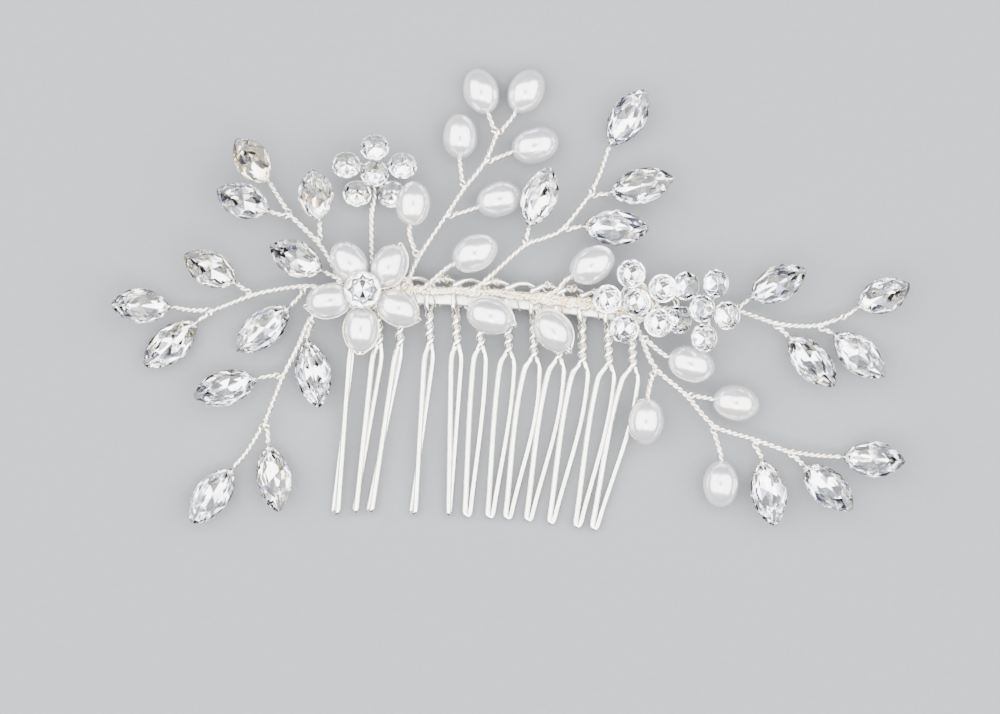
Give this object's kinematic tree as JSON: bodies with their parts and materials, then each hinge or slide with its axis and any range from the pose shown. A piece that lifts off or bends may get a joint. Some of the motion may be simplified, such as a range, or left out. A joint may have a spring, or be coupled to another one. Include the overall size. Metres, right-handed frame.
{
  "type": "decorative hair comb",
  "caption": "Bridal-style wire hair comb with sprays of pointed-oval crystals, oval pearls, a pearl flower and round-crystal flowers on twisted silver wire.",
  "frame": {"origin": "the middle of the part's outline, on the surface that the comb lies on", "axes": "the comb lies on its back: X runs along the bar, +Y points away from the teeth, so the teeth point along -Y, and +Z points out of the ornament's front"},
  "size_m": [0.1333, 0.0794, 0.0123],
  "materials": {
    "bar": "bright silver-plated flat strip",
    "comb_wire": "bright silver-plated wire, drawn and bent",
    "stem_wire": "bright silver-plated craft wire, twisted in pairs",
    "fine_wire": "fine silver-plated binding wire with a warm, ivory cast",
    "crystal": "clear faceted crystal",
    "pearl": "imitation pearl with a white nacre coat and soft lustre",
    "cup": "bright silver-plated stone cup"
  },
  "bodies": {
    "root": {"comb_bar": "bar", "comb_wire": "comb_wire", "comb_wire_arches": "comb_wire", "binding_wire": "fine_wire", "crystal_upper_left_1": "crystal", "crystal_upper_left_2": "crystal", "crystal_upper_left_3": "crystal", "crystal_inner_left": "crystal", "crystal_left_1": "crystal", "crystal_left_2": "crystal", "crystal_left_3": "crystal", "crystal_left_4": "crystal", "crystal_lower_left_1": "crystal", "crystal_lower_left_2": "crystal", "crystal_lower_left_3": "crystal", "crystal_lower_left_4": "crystal", "crystal_upper_right_1": "crystal", "crystal_upper_right_2": "crystal", "crystal_upper_right_3": "crystal", "crystal_upper_right_4": "crystal", "crystal_right_1": "crystal", "crystal_right_2": "crystal", "crystal_right_3": "crystal", "crystal_right_4": "crystal", "crystal_lower_right_1": "crystal", "crystal_lower_right_2": "crystal", "crystal_lower_right_3": "crystal", "crystal_flower_middle": "crystal", "pearl_top_1": "pearl", "pearl_top_2": "pearl", "pearl_top_3": "pearl", "pearl_top_4": "pearl", "pearl_top_5": "pearl", "pearl_top_6": "pearl", "pearl_low_1": "pearl", "pearl_low_2": "pearl", "pearl_bar_1": "pearl", "pearl_bar_2": "pearl", "pearl_lower_right_1": "pearl", "pearl_lower_right_2": "pearl", "pearl_lower_right_3": "pearl", "pearl_lower_right_4": "pearl", "pearl_flower_petals": "pearl", "pearl_flower_cup": "cup", "pearl_flower_stone": "crystal", "pearl_flower_wire": "fine_wire", "crystal_flower_upper": "crystal", "crystal_flower_right": "crystal", "crystal_flower_wires": "fine_wire", "stem_wire_upper_flower": "stem_wire", "stem_wire_inner_left": "stem_wire", "spray_wire_upper_left": "stem_wire", "spray_wire_left": "stem_wire", "spray_wire_lower_left": "stem_wire", "spray_wire_top": "stem_wire", "spray_wire_upper_right": "stem_wire", "spray_wire_right": "stem_wire", "spray_wire_lower_right": "stem_wire", "stem_wires_low_pearls": "stem_wire", "stem_wires_bar_pearls": "stem_wire"}
  },
  "joints": []
}
